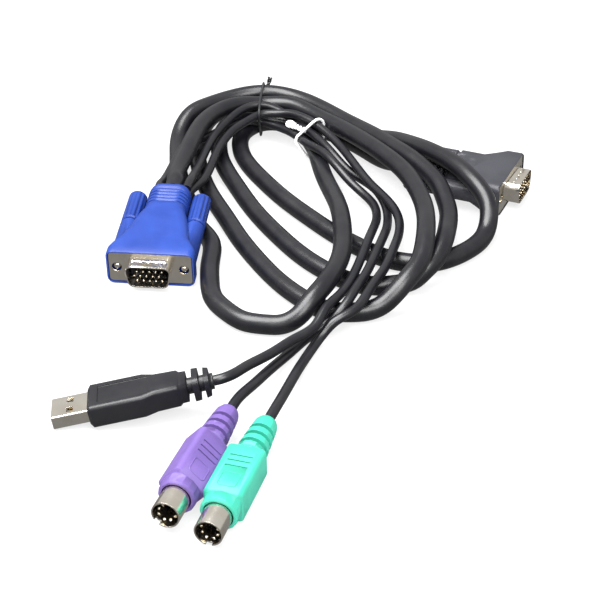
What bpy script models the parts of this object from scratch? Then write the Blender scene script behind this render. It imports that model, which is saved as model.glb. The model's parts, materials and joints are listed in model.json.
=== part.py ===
"""KVM cable: one thick lead with a 15-pin D plug on each end and three thin leads with
a USB plug and two round six-pin plugs, lying bundled on a table. Metres, +Z up.

Each plug is modelled in a frame of its own: X across it, Y from its mating end to its
tail, Z up through its wide side. An empty then lays that frame down on the table."""

import math

import bmesh
import bpy
import numpy as np
from mathutils import Euler, Matrix, Vector

# Clearances
TOUCH_GAP = 0.0003          # between solids that touch
SCREW_RUNNING_GAP = 0.00045  # round the shank of a screw that turns

# Leads
MAIN_LEAD_DIAMETER = 0.0072
THIN_LEAD_DIAMETER = 0.0035
LEAD_CHORD_ERROR = 0.00022  # how far a chord may leave the smooth route

# D plugs: flange and shell
FLANGE_WIDTH = 0.03081
FLANGE_HEIGHT = 0.0125
FLANGE_THICKNESS = 0.0008
FLANGE_CORNER = 0.0012
SCREW_SPACING = 0.02499
D_SHELL_WIDTH = 0.0177
D_SHELL_HEIGHT = 0.0092
D_SHELL_LENGTH = 0.0059
D_SHELL_WALL = 0.0005
D_SHELL_CORNER = 0.0026
D_SHELL_SLOPE = math.radians(10.0)
D_DIMPLE_RADIUS = 0.0010
D_DIMPLE_DEPTH = 0.00022
D_DIMPLE_COUNT = 5

# D plugs: insulator and pins
D_INSULATOR_RECESS = 0.0048   # from the mouth of the shell down to the insulator
D_INSULATOR_LENGTH = 0.0042
D_PIN_RADIUS = 0.00040
D_PIN_SETBACK = 0.0006        # pin tip behind the mouth of the shell
D_PIN_PITCH = 0.00229
D_PIN_ROW_PITCH = 0.00198
D_PIN_ROOT = 0.0008           # length of a pin inside the insulator

# Thumbscrews
SCREW_RADIUS = 0.00142
SCREW_TIP_SETBACK = 0.0002    # tip behind the flange's front face
SCREW_IN_KNOB = 0.0080
KNOB_CLEARANCE = 0.0005       # between a turning knob and the hood's neck
KNOB_FLUTES = 12
KNOB_FLUTE_RADIUS = 0.00045
KNOB_NECK_RADIUS = 0.0028
KNOB_NECK_LENGTH = 0.0012
EAR_RADIUS = 0.0037

# Blue computer plug
VGA_RIM_HALF_WIDTH = 0.0164
VGA_RIM_HALF_HEIGHT = 0.00725
VGA_RIM_PROUD = 0.0005
VGA_EAR_END = 0.0262
VGA_NECK_START = 0.0325
VGA_LENGTH = 0.0480
VGA_NECK_HALF_WIDTH = 0.0082
VGA_NECK_HALF_HEIGHT = 0.00635
VGA_KNOB_RADIUS = 0.0037
VGA_KNOB_LENGTH = 0.0193

# Charcoal console plug
CONSOLE_RIM_HALF_WIDTH = 0.0164
CONSOLE_RIM_HALF_HEIGHT = 0.0069
CONSOLE_RIM_PROUD = 0.0003
CONSOLE_EAR_END = 0.0252
CONSOLE_NECK_START = 0.0250
CONSOLE_LENGTH = 0.0380
CONSOLE_NECK_RADIUS = 0.0058
CONSOLE_KNOB_RADIUS = 0.0034
CONSOLE_KNOB_LENGTH = 0.0150

# USB plug
USB_SHELL_WIDTH = 0.0120
USB_SHELL_HEIGHT = 0.0045
USB_SHELL_LENGTH = 0.0120
USB_SHELL_WALL = 0.00035
USB_SHELL_SEAT = 0.0030
USB_BODY_HALF_WIDTH = 0.0078
USB_BODY_HALF_HEIGHT = 0.0040
USB_BODY_LENGTH = 0.0300
USB_LENGTH = 0.0410
USB_RING_RADIUS = 0.0046
USB_CORE_RADIUS = 0.0027
USB_TONGUE_THICKNESS = 0.0018
USB_TONGUE_SETBACK = 0.0008
USB_CONTACT_WIDTH = 0.0010
USB_CONTACT_THICKNESS = 0.00025
USB_CONTACT_PLACES = (-0.0035, -0.0010, 0.0010, 0.0035)

# Round keyboard and mouse plugs
DIN_SHELL_RADIUS = 0.0045
DIN_SHELL_WALL = 0.00045
DIN_SHELL_LENGTH = 0.0085
DIN_SHELL_SEAT = 0.0025
DIN_COLLAR_RADIUS = 0.0060
DIN_COLLAR_LENGTH = 0.0042
DIN_BODY_HALF_WIDTH = 0.00625
DIN_BODY_HALF_HEIGHT = 0.0054
DIN_BODY_END = 0.0280
DIN_LENGTH = 0.0460
DIN_PIN_RADIUS = 0.00045
DIN_PIN_SETBACK = 0.0012
DIN_INSULATOR_LENGTH = 0.0020
DIN_INSULATOR_RECESS = 0.0075
DIN_KEY_WIDTH = 0.0022
DIN_KEY_HEIGHT = 0.0012
DIN_PIN_PLACES = (
    (-0.00255, 0.0011), (0.00255, 0.0011), (-0.0024, -0.0011),
    (0.0024, -0.0011), (-0.0011, -0.0027), (0.0011, -0.0027),
)

# Ties
TIE_WIDTH = 0.0017
TIE_THICKNESS = 0.0009
BLACK_TIE_MIDDLE = (-0.0165, 0.148)
BLACK_TIE_HEADING = -90.0
BLACK_TIE_REACH = 0.024
BLACK_TIE_KNOT_HEIGHT = 0.006
WHITE_TIE_MIDDLE = (0.0040, 0.1165)
WHITE_TIE_HEADING = -153.0
WHITE_TIE_REACH = 0.010
WHITE_TIE_KNOT = (0.0024, 0.0, 0.0136)
WHITE_TIE_TAIL = (0.2, -1.0, -0.06)
WHITE_TIE_TAIL_LENGTH = 0.008
WHITE_TIE_EYE_RADIUS = 0.0018

# Where each plug lies: its frame's origin, then yaw, pitch and roll in degrees
LAYOUT_CENTRE = (0.006293, 0.0149425)
VGA_POSE = ((-0.0549, 0.0106, 0.0072), (-5.8, 6.5, 0.0))
CONSOLE_POSE = ((0.0846, 0.0776, 0.00762), (66.0, 0.0, -3.0))
USB_POSE = ((-0.0681, -0.0748, 0.0047), (-84.5, 10.5, -3.0))
KEYBOARD_POSE = ((-0.0367, -0.1260, 0.0074), (-18.1, 1.0, 42.0))
MOUSE_POSE = ((-0.0240, -0.1323, 0.0060), (-17.6, 3.0, 0.0))


# The scene and its collections
def empty_scene():
    for old in list(bpy.data.objects):
        bpy.data.objects.remove(old, do_unlink=True)


def new_collection(name):
    collection = bpy.data.collections.new(name)
    bpy.context.scene.collection.children.link(collection)
    return collection


empty_scene()
PARTS = new_collection("kvm_cable")
CUTTERS = new_collection("cutters")

COLOURS = {
    "blue": ((0.045, 0.135, 0.72), 0.42, 0.0),
    "charcoal": ((0.085, 0.085, 0.105), 0.50, 0.0),
    "black": ((0.022, 0.022, 0.026), 0.45, 0.0),
    "nickel": ((0.78, 0.74, 0.66), 0.24, 1.0),
    "gold": ((0.86, 0.62, 0.28), 0.28, 1.0),
    "purple": ((0.42, 0.24, 0.86), 0.42, 0.0),
    "green": ((0.06, 0.72, 0.52), 0.42, 0.0),
    "white": ((0.86, 0.86, 0.84), 0.45, 0.0),
}


def finish(thing, colour):
    """Give the object a material of its own."""
    base, roughness, metallic = COLOURS[colour]
    material = bpy.data.materials.new(thing.name + "_finish")
    material.use_nodes = True
    shader = material.node_tree.nodes["Principled BSDF"]
    shader.inputs["Base Color"].default_value = (*base, 1.0)
    shader.inputs["Roughness"].default_value = roughness
    shader.inputs["Metallic"].default_value = metallic
    material.diffuse_color = (*base, 1.0)
    thing.data.materials.append(material)


def new_frame(name, place, turns=(0.0, 0.0, 0.0), parent=None):
    """An empty that carries a plug, or a thumbscrew's axis."""
    yaw, pitch, roll = (math.radians(turn) for turn in turns)
    empty = bpy.data.objects.new(name, None)
    PARTS.objects.link(empty)
    empty.rotation_mode = "YXZ"
    empty.rotation_euler = Euler((pitch, roll, yaw), "YXZ")
    empty.location = place
    empty.parent = parent
    return empty


LAYOUT = new_frame("layout", (-LAYOUT_CENTRE[0], -LAYOUT_CENTRE[1], 0.0))


# Outlines across a plug: lists of (x, z), all the way round
def rounded_polygon(corners, radius, steps=4):
    """The corners' outline with each corner turned by an arc."""
    outline = []
    count = len(corners)
    for index, corner in enumerate(corners):
        corner = Vector(corner)
        to_last = (Vector(corners[index - 1]) - corner).normalized()
        to_next = (Vector(corners[(index + 1) % count]) - corner).normalized()
        half_angle = to_last.angle(to_next) / 2.0
        centre = corner + (to_last + to_next).normalized() * radius / math.sin(half_angle)
        start = corner + to_last * radius / math.tan(half_angle) - centre
        end = corner + to_next * radius / math.tan(half_angle) - centre
        first = math.atan2(start.y, start.x)
        sweep = math.atan2(end.y, end.x) - first
        sweep = (sweep + math.pi) % (2.0 * math.pi) - math.pi
        for step in range(steps + 1):
            angle = first + sweep * step / steps
            outline.append((centre.x + radius * math.cos(angle), centre.y + radius * math.sin(angle)))
    return outline


def rounded_box(half_width, half_height, radius, rise=0.0, steps=4):
    """A rectangle with round corners, its centre lifted by rise."""
    radius = min(radius, half_width - 1e-5, half_height - 1e-5)
    low = rise - half_height
    high = rise + half_height
    corners = [(-half_width, low), (half_width, low), (half_width, high), (-half_width, high)]
    return rounded_polygon(corners, radius, steps)


def d_outline(offset=0.0, steps=4):
    """The D of the shell, wide side up, grown by offset."""
    half_height = D_SHELL_HEIGHT / 2.0 + offset
    top = D_SHELL_WIDTH / 2.0 + offset
    bottom = top - 2.0 * half_height * math.tan(D_SHELL_SLOPE)
    corners = [(-bottom, -half_height), (bottom, -half_height), (top, half_height), (-top, half_height)]
    return rounded_polygon(corners, max(D_SHELL_CORNER + offset, 0.0004), steps)


def loft(rings):
    """A closed body through rings given as (y, outline)."""
    body = bmesh.new()
    loops = [[body.verts.new((x, y, z)) for x, z in outline] for y, outline in rings]
    for near, far in zip(loops, loops[1:]):
        for index in range(len(near)):
            after = (index + 1) % len(near)
            body.faces.new((near[index], near[after], far[after], far[index]))
    body.faces.new(loops[0])
    body.faces.new(loops[-1])
    bmesh.ops.recalc_face_normals(body, faces=body.faces)
    return body


def prism(outline, start, end):
    return loft([(start, outline), (end, outline)])


def box(low, high):
    """A box between two corners."""
    middle = (Vector(low) + Vector(high)) / 2.0
    size = Vector(high) - Vector(low)
    body = bmesh.new()
    bmesh.ops.create_cube(body, size=1.0, matrix=Matrix.Translation(middle) @ Matrix.Diagonal((*size, 1.0)))
    return body


def rod(radius, start, end, x=0.0, z=0.0, sides=20, end_radius=None):
    """A cylinder or a cone along Y."""
    body = bmesh.new()
    middle = Matrix.Translation((x, (start + end) / 2.0, z)) @ Matrix.Rotation(-math.pi / 2.0, 4, "X")
    bmesh.ops.create_cone(
        body, cap_ends=True, segments=sides, radius1=radius,
        radius2=radius if end_radius is None else end_radius, depth=end - start, matrix=middle)
    return body


def ball(centre, radii, sides=16, rings=10):
    body = bmesh.new()
    matrix = Matrix.Translation(centre) @ Matrix.Diagonal((*radii, 1.0))
    bmesh.ops.create_uvsphere(body, u_segments=sides, v_segments=rings, radius=1.0, matrix=matrix)
    return body


def gather(bodies):
    """Several separate bodies as one mesh, for a cutter."""
    whole = bmesh.new()
    for body in bodies:
        mesh = bpy.data.meshes.new("piece")
        body.to_mesh(mesh)
        body.free()
        whole.from_mesh(mesh)
        bpy.data.meshes.remove(mesh)
    return whole


def place(name, body, parent, collection=PARTS):
    """The body as an object in its parent's frame."""
    mesh = bpy.data.meshes.new(name)
    body.to_mesh(mesh)
    body.free()
    thing = bpy.data.objects.new(name, mesh)
    collection.objects.link(thing)
    thing.parent = parent
    return thing


def shape(thing, operation, body):
    """Cut, or join, the object with a body given in the same frame."""
    cutter = place(thing.name + "_" + operation.lower(), body, thing.parent, CUTTERS)
    cutter.location = thing.location
    cutter.rotation_euler = thing.rotation_euler
    cutter.hide_render = True
    cutter.display_type = "WIRE"
    modifier = thing.modifiers.new(operation.lower(), "BOOLEAN")
    modifier.operation = operation
    modifier.solver = "EXACT"
    modifier.object = cutter


def smooth(thing, degrees=32.0):
    thing.data.shade_smooth()
    thing.data.set_sharp_from_angle(angle=math.radians(degrees))


def turned(name, profile, parent, collection=PARTS, sides=20):
    """A profile of (radius, distance along Y) from the tail end to the front, revolved."""
    mesh = bpy.data.meshes.new(name)
    points = [(radius, 0.0, along) for radius, along in profile]
    mesh.from_pydata(points, [(index, index + 1) for index in range(len(points) - 1)], [])
    thing = bpy.data.objects.new(name, mesh)
    collection.objects.link(thing)
    thing.parent = parent
    thing.rotation_euler = (-math.pi / 2.0, 0.0, 0.0)
    screw = thing.modifiers.new("revolve", "SCREW")
    screw.steps = sides
    screw.render_steps = sides
    screw.use_merge_vertices = True
    screw.merge_threshold = 0.00001
    return thing


# What both D plugs share
def d_shell(prefix, frame):
    """Flange plate and D shell, pressed from one sheet."""
    plate = prism(rounded_box(FLANGE_WIDTH / 2.0, FLANGE_HEIGHT / 2.0, FLANGE_CORNER), 0.0, FLANGE_THICKNESS)
    shell = place(prefix + "_shell", plate, frame)
    shape(shell, "UNION", prism(d_outline(), -D_SHELL_LENGTH, FLANGE_THICKNESS / 2.0))
    bore = prism(d_outline(-D_SHELL_WALL), -2.0 * D_SHELL_LENGTH, 2.0 * FLANGE_THICKNESS)
    hole_radius = SCREW_RADIUS + SCREW_RUNNING_GAP
    holes = [
        rod(hole_radius, -FLANGE_THICKNESS, 2.0 * FLANGE_THICKNESS, side * SCREW_SPACING / 2.0)
        for side in (-1, 1)]
    dimples = []
    for index in range(D_DIMPLE_COUNT):
        x = (index - (D_DIMPLE_COUNT - 1) / 2.0) * D_SHELL_WIDTH / (D_DIMPLE_COUNT + 1)
        for side in (-1, 1):
            height = side * (D_SHELL_HEIGHT / 2.0 + D_DIMPLE_RADIUS - D_DIMPLE_DEPTH)
            dimples.append(ball((x, -D_SHELL_LENGTH / 2.0, height), (D_DIMPLE_RADIUS,) * 3, 10, 8))
    shape(shell, "DIFFERENCE", gather([bore, *holes, *dimples]))
    finish(shell, "nickel")
    return shell


def d_pin_block(prefix, frame):
    """Insulator with three staggered rows of five pins standing in it."""
    front = -D_SHELL_LENGTH + D_INSULATOR_RECESS
    outline = d_outline(-D_SHELL_WALL - TOUCH_GAP)
    block = place(prefix + "_pin_block", prism(outline, front, front + D_INSULATOR_LENGTH), frame)
    tip = -D_SHELL_LENGTH + D_PIN_SETBACK
    pins = []
    for row in (-1, 0, 1):
        shift = D_PIN_PITCH / 2.0 if row == 0 else 0.0
        for column in (-2, -1, 0, 1, 2):
            x = column * D_PIN_PITCH - shift + D_PIN_PITCH / 4.0
            z = row * D_PIN_ROW_PITCH
            pins.append(rod(D_PIN_RADIUS, tip, front + D_PIN_ROOT, x, z, 8))
    shape(block, "UNION", gather(pins))
    finish(block, "black")
    return block


def d_hood_cavity(rim_proud):
    """The pocket that the flange sits in, and the room behind it for the insulator."""
    gap = TOUCH_GAP
    flange = prism(
        rounded_box(FLANGE_WIDTH / 2.0 + gap, FLANGE_HEIGHT / 2.0 + gap, FLANGE_CORNER + gap),
        -2.0 * rim_proud, FLANGE_THICKNESS + gap)
    back = -D_SHELL_LENGTH + D_INSULATOR_RECESS + D_INSULATOR_LENGTH + gap
    return [flange, prism(d_outline(-D_SHELL_WALL), 0.0, back)]


def screw_hole(side, end):
    """The running hole for one screw, from the flange through the ear."""
    radius = SCREW_RADIUS + SCREW_RUNNING_GAP
    return rod(radius, 0.0, end + 0.001, side * SCREW_SPACING / 2.0)


def knob_channel(side, start, knob_radius, end):
    """The room that a knob turns in, beside the hood's neck."""
    return rod(knob_radius + KNOB_CLEARANCE, start, 1.2 * end, side * SCREW_SPACING / 2.0, sides=24)


def thumbscrew(prefix, hand, frame, ear_end, knob_radius, knob_length, colour):
    """A steel screw and its moulded knob, on an axis of their own."""
    side = -1.0 if hand == "left" else 1.0
    axis = new_frame(prefix + "_" + hand + "_thumbscrew_axis", (side * SCREW_SPACING / 2.0, 0.0, 0.0), parent=frame)
    start = ear_end + TOUCH_GAP
    grip = start + KNOB_NECK_LENGTH
    end = start + knob_length
    edge = 0.14 * knob_radius
    hole = SCREW_RADIUS + TOUCH_GAP
    screw_end = start + SCREW_IN_KNOB
    knob = turned(prefix + "_knob_" + hand, [
        (0.0, end), (0.72 * knob_radius, end), (knob_radius - edge, end - edge / 2.0),
        (knob_radius, end - 2.0 * edge), (knob_radius, grip + edge), (knob_radius - edge, grip),
        (KNOB_NECK_RADIUS, grip), (KNOB_NECK_RADIUS, start), (hole, start),
        (hole, screw_end + TOUCH_GAP), (0.0, screw_end + TOUCH_GAP)], axis, sides=24)
    flutes = []
    for index in range(KNOB_FLUTES):
        angle = 2.0 * math.pi * index / KNOB_FLUTES
        radius = knob_radius + 0.4 * KNOB_FLUTE_RADIUS
        flutes.append(rod(
            KNOB_FLUTE_RADIUS, grip + 2.0 * edge, end + edge, radius * math.cos(angle), radius * math.sin(angle), 5))
    cutter_body = gather(flutes)
    bmesh.ops.transform(cutter_body, matrix=Matrix.Rotation(math.pi / 2.0, 4, "X"), verts=cutter_body.verts)
    shape(knob, "DIFFERENCE", cutter_body)
    finish(knob, colour)
    tip = SCREW_TIP_SETBACK
    screw = turned(prefix + "_screw_" + hand, [
        (0.0, screw_end), (SCREW_RADIUS, screw_end), (SCREW_RADIUS, tip + 0.5 * SCREW_RADIUS),
        (0.6 * SCREW_RADIUS, tip), (0.0, tip)], axis)
    finish(screw, "nickel")


def grooved_neck(start, end, half_width, half_height, corner, grooves, depth, groove, taper=1.0):
    """Rings of a neck whose ribs are parted by grooves of one width and depth."""
    rings = []
    length = end - start
    pitch = length / grooves

    def ring(y, inset):
        share = 1.0 - (1.0 - taper) * (y - start) / length
        return (y, rounded_box(half_width * share - inset, half_height * share - inset, corner))

    for index in range(grooves):
        y = start + pitch * index + (pitch - groove) / 2.0
        rings.extend([ring(y, 0.0), ring(y + 0.25 * groove, depth), ring(y + 0.75 * groove, depth),
                      ring(y + groove, 0.0)])
    return rings


# The blue plug that goes to the computer
def vga_plug():
    frame = new_frame("vga_frame", *VGA_POSE, parent=LAYOUT)
    wide = VGA_RIM_HALF_WIDTH
    high = VGA_RIM_HALF_HEIGHT
    neck_wide = VGA_NECK_HALF_WIDTH
    neck_high = VGA_NECK_HALF_HEIGHT
    neck = grooved_neck(VGA_NECK_START + 0.002, VGA_LENGTH - 0.003, neck_wide, neck_high, 0.0050, 5, 0.0005, 0.0009)
    rings = [
        (-VGA_RIM_PROUD, rounded_box(wide - 0.0002, high - 0.0002, 0.0026)),
        (0.0, rounded_box(wide, high, 0.0026)),
        (0.0040, rounded_box(wide, high, 0.0026)),
        (0.0070, rounded_box(wide - 0.0010, high - 0.0001, 0.0028)),
        (0.0120, rounded_box(wide - 0.0034, high - 0.0003, 0.0032)),
        (0.0280, rounded_box(neck_wide + 0.0014, neck_high + 0.0001, 0.0042)),
        (VGA_NECK_START, rounded_box(neck_wide, neck_high, 0.0048)),
        *neck,
        (VGA_LENGTH - 0.0014, rounded_box(neck_wide - 0.0002, neck_high - 0.0002, 0.0048)),
        (VGA_LENGTH - 0.0004, rounded_box(neck_wide - 0.0006, neck_high - 0.0006, 0.0044)),
        (VGA_LENGTH, rounded_box(neck_wide - 0.0012, neck_high - 0.0012, 0.0040)),
    ]
    hood = place("vga_hood", loft(rings), frame)
    ears = [rod(EAR_RADIUS, 0.003, VGA_EAR_END, side * SCREW_SPACING / 2.0, sides=24) for side in (-1, 1)]
    shape(hood, "UNION", gather(ears))
    holes = [screw_hole(side, VGA_EAR_END) for side in (-1, 1)]
    shape(hood, "DIFFERENCE", gather([knob_channel(side, VGA_EAR_END, VGA_KNOB_RADIUS, VGA_LENGTH) for side in (-1, 1)]))
    hollow(hood, VGA_RIM_PROUD, holes, "blue")
    d_shell("vga", frame)
    d_pin_block("vga", frame)
    for hand in ("left", "right"):
        thumbscrew("vga", hand, frame, VGA_EAR_END, VGA_KNOB_RADIUS, VGA_KNOB_LENGTH, "blue")


def hollow(hood, rim_proud, holes, colour):
    """Cut the flange's pocket, the insulator's room and the screw holes, one after another."""
    flange, room = d_hood_cavity(rim_proud)
    shape(hood, "DIFFERENCE", flange)
    shape(hood, "DIFFERENCE", room)
    shape(hood, "DIFFERENCE", gather(holes))
    smooth(hood)
    finish(hood, colour)


# The charcoal plug that goes to the console switch
def console_plug():
    frame = new_frame("console_frame", *CONSOLE_POSE, parent=LAYOUT)
    wide = CONSOLE_RIM_HALF_WIDTH
    high = CONSOLE_RIM_HALF_HEIGHT
    neck = CONSOLE_NECK_RADIUS
    ribs = grooved_neck(CONSOLE_NECK_START, CONSOLE_LENGTH - 0.001, neck, neck, neck, 4, 0.0013, 0.0014, 0.86)
    rings = [
        (-CONSOLE_RIM_PROUD, rounded_box(wide - 0.0003, high - 0.0003, 0.0026)),
        (0.0004, rounded_box(wide, high, 0.0028)),
        (0.0060, rounded_box(wide, high, 0.0030)),
        (0.0105, rounded_box(wide - 0.0030, high - 0.0002, 0.0034)),
        (0.0160, rounded_box(0.0104, high - 0.0005, 0.0038)),
        (0.0215, rounded_box(0.0092, high - 0.0010, 0.0040)),
        (0.0236, rounded_box(0.0086, high - 0.0014, 0.0040)),
        (0.0242, rounded_box(0.0074, high - 0.0022, 0.0040)),
        (CONSOLE_NECK_START - 0.0002, rounded_box(neck, neck, neck)),
        *ribs,
        (CONSOLE_LENGTH, rounded_box(neck * 0.80, neck * 0.80, neck)),
    ]
    hood = place("console_hood", loft(rings), frame)
    ears = [rod(EAR_RADIUS, 0.003, CONSOLE_EAR_END, side * SCREW_SPACING / 2.0, sides=24) for side in (-1, 1)]
    shape(hood, "UNION", gather(ears))
    shape(hood, "DIFFERENCE", gather([
        ball((0.0, 0.0175, side * (high + 0.0004)), (0.0052, 0.0034, 0.0018), 24, 12) for side in (-1, 1)]))
    holes = [screw_hole(side, CONSOLE_EAR_END) for side in (-1, 1)]
    channels = [knob_channel(side, CONSOLE_EAR_END, CONSOLE_KNOB_RADIUS, CONSOLE_LENGTH) for side in (-1, 1)]
    shape(hood, "DIFFERENCE", gather(channels))
    hollow(hood, CONSOLE_RIM_PROUD, holes, "charcoal")
    d_shell("console", frame)
    d_pin_block("console", frame)
    for hand in ("left", "right"):
        thumbscrew("console", hand, frame, CONSOLE_EAR_END, CONSOLE_KNOB_RADIUS, CONSOLE_KNOB_LENGTH, "charcoal")


# The USB plug
def usb_plug():
    frame = new_frame("usb_frame", *USB_POSE, parent=LAYOUT)
    wide = USB_BODY_HALF_WIDTH
    high = USB_BODY_HALF_HEIGHT
    end = USB_BODY_LENGTH
    core = USB_CORE_RADIUS
    ring = USB_RING_RADIUS
    rings = [
        (0.0, rounded_box(wide - 0.0010, high - 0.0010, 0.0012)),
        (0.0010, rounded_box(wide, high, 0.0014)),
        (0.0180, rounded_box(wide, high, 0.0014)),
        (0.0220, rounded_box(wide - 0.0016, high, 0.0014)),
        (end - 0.0006, rounded_box(wide - 0.0020, high, 0.0014)),
        (end, rounded_box(wide - 0.0024, high - 0.0004, 0.0012)),
        (end + 0.0002, rounded_box(ring + 0.0006, high - 0.0004, 0.0016)),
        (end + 0.0024, rounded_box(ring + 0.0004, high - 0.0004, 0.0016)),
        (end + 0.0026, rounded_box(core, core, core)),
        (end + 0.0042, rounded_box(core, core, core)),
        (end + 0.0044, rounded_box(ring + 0.0004, ring - 0.0004, 0.0020)),
        (end + 0.0064, rounded_box(ring + 0.0002, ring - 0.0004, 0.0020)),
        (end + 0.0066, rounded_box(core, core, core)),
        (end + 0.0080, rounded_box(core, core, core)),
        (end + 0.0082, rounded_box(ring, ring - 0.0006, 0.0020)),
        (end + 0.0098, rounded_box(ring - 0.0004, ring - 0.0008, 0.0020)),
        (end + 0.0100, rounded_box(core, core, core)),
        (USB_LENGTH, rounded_box(core, core, core)),
    ]
    body = place("usb_overmould", loft(rings), frame)
    half_width = USB_SHELL_WIDTH / 2.0
    half_height = USB_SHELL_HEIGHT / 2.0
    seat = prism(rounded_box(half_width + TOUCH_GAP, half_height + TOUCH_GAP, 0.0006), -0.001, USB_SHELL_SEAT + TOUCH_GAP)
    shape(body, "DIFFERENCE", seat)
    panel = prism(rounded_box(0.0050, 0.0004, 0.0002, high), 0.0035, 0.0200)
    shape(body, "DIFFERENCE", panel)
    smooth(body)
    finish(body, "black")

    shell = place("usb_shell", prism(rounded_box(half_width, half_height, 0.0005), -USB_SHELL_LENGTH, USB_SHELL_SEAT), frame)
    wall = USB_SHELL_WALL
    shape(shell, "DIFFERENCE", prism(
        rounded_box(half_width - wall, half_height - wall, 0.0003), -2.0 * USB_SHELL_LENGTH, 2.0 * USB_SHELL_SEAT))
    windows = [
        box((side * 0.0028 - 0.00125, -0.0070, -half_height - 0.001), (side * 0.0028 + 0.00125, -0.0048, half_height + 0.001))
        for side in (-1, 1)]
    shape(shell, "DIFFERENCE", gather(windows))
    finish(shell, "nickel")

    floor = -half_height + wall + TOUCH_GAP
    top = floor + USB_TONGUE_THICKNESS
    front = -USB_SHELL_LENGTH + USB_TONGUE_SETBACK
    half_tongue = half_width - wall - TOUCH_GAP
    tongue = place("usb_tongue", box((-half_tongue, front, floor), (half_tongue, USB_SHELL_SEAT - TOUCH_GAP, top)), frame)
    slots = [
        box((x - USB_CONTACT_WIDTH / 2.0 - TOUCH_GAP, front + 0.0006, top - 0.0003),
            (x + USB_CONTACT_WIDTH / 2.0 + TOUCH_GAP, USB_SHELL_SEAT, top + 0.001))
        for x in USB_CONTACT_PLACES]
    shape(tongue, "DIFFERENCE", gather(slots))
    finish(tongue, "white")
    for index, x in enumerate(USB_CONTACT_PLACES):
        long_one = index in (0, 3)
        start = front + (0.0009 if long_one else 0.0019)
        contact = place("usb_contact_%d" % (index + 1), box(
            (x - USB_CONTACT_WIDTH / 2.0, start, top),
            (x + USB_CONTACT_WIDTH / 2.0, USB_SHELL_SEAT - TOUCH_GAP, top + USB_CONTACT_THICKNESS)), frame)
        finish(contact, "gold")


# A round six-pin plug
def din_plug(prefix, pose, colour):
    frame = new_frame(prefix + "_frame", *pose, parent=LAYOUT)
    wide = DIN_BODY_HALF_WIDTH
    high = DIN_BODY_HALF_HEIGHT
    collar = DIN_COLLAR_RADIUS
    front = DIN_COLLAR_LENGTH
    end = DIN_BODY_END
    rings = [
        (0.0, rounded_box(collar - 0.0006, collar - 0.0006, collar)),
        (0.0006, rounded_box(collar, collar, collar)),
        (front - 0.0002, rounded_box(collar, collar, collar)),
        (front, rounded_box(wide - 0.0006, high - 0.0006, 0.0016)),
        (front + 0.0006, rounded_box(wide, high, 0.0018)),
        (end - 0.0016, rounded_box(wide, high, 0.0018)),
        (end - 0.0002, rounded_box(wide - 0.0012, high - 0.0012, 0.0018)),
    ]
    relief = [
        (end, 0.0051, 0), (end + 0.0020, 0.0050, 0), (end + 0.0022, 0.0034, 1), (end + 0.0034, 0.0034, 1),
        (end + 0.0036, 0.0049, 0), (end + 0.0060, 0.0047, 0), (end + 0.0062, 0.0031, 1), (end + 0.0074, 0.0031, 1),
        (end + 0.0076, 0.0046, 0), (end + 0.0100, 0.0044, 0), (end + 0.0102, 0.0028, 1), (end + 0.0114, 0.0028, 1),
        (end + 0.0116, 0.0043, 0), (DIN_LENGTH - 0.0024, 0.0039, 0), (DIN_LENGTH - 0.0008, 0.0033, 0),
        (DIN_LENGTH, 0.0024, 0),
    ]
    rings.extend((y, rounded_box(radius, radius, radius)) for y, radius, _ in relief)
    body = place(prefix + "_overmould", loft(rings), frame)
    seat = rod(DIN_SHELL_RADIUS + TOUCH_GAP, -0.001, DIN_SHELL_SEAT + TOUCH_GAP, sides=28)
    shape(body, "DIFFERENCE", seat)
    grooves = [
        box((-0.0036, y - 0.0003, side * high - 0.0004), (0.0036, y + 0.0003, side * high + 0.0004))
        for y in (0.0165, 0.0190, 0.0215) for side in (-1, 1)]
    shape(body, "DIFFERENCE", gather(grooves))
    smooth(body)
    finish(body, colour)

    shell = place(prefix + "_shell", rod(DIN_SHELL_RADIUS, -DIN_SHELL_LENGTH, DIN_SHELL_SEAT, sides=28), frame)
    bore = DIN_SHELL_RADIUS - DIN_SHELL_WALL
    shape(shell, "DIFFERENCE", rod(bore, -2.0 * DIN_SHELL_LENGTH, 2.0 * DIN_SHELL_SEAT, sides=28))
    notch = box((-0.0010, -2.0 * DIN_SHELL_LENGTH, -2.0 * DIN_SHELL_RADIUS), (0.0010, -DIN_SHELL_LENGTH + 0.0012, 0.0))
    shape(shell, "DIFFERENCE", notch)
    smooth(shell)
    finish(shell, "nickel")

    face = -DIN_SHELL_LENGTH + DIN_INSULATOR_RECESS
    block = place(prefix + "_pin_block", rod(bore - TOUCH_GAP, face, face + DIN_INSULATOR_LENGTH, sides=24), frame)
    tip = -DIN_SHELL_LENGTH + DIN_PIN_SETBACK
    pins = [rod(DIN_PIN_RADIUS, tip, face + 0.0008, x, z, 8) for x, z in DIN_PIN_PLACES]
    key = box((-DIN_KEY_WIDTH / 2.0, tip, 0.0), (DIN_KEY_WIDTH / 2.0, face + 0.0008, DIN_KEY_HEIGHT))
    shape(block, "UNION", gather([*pins, key]))
    finish(block, "black")


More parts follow.
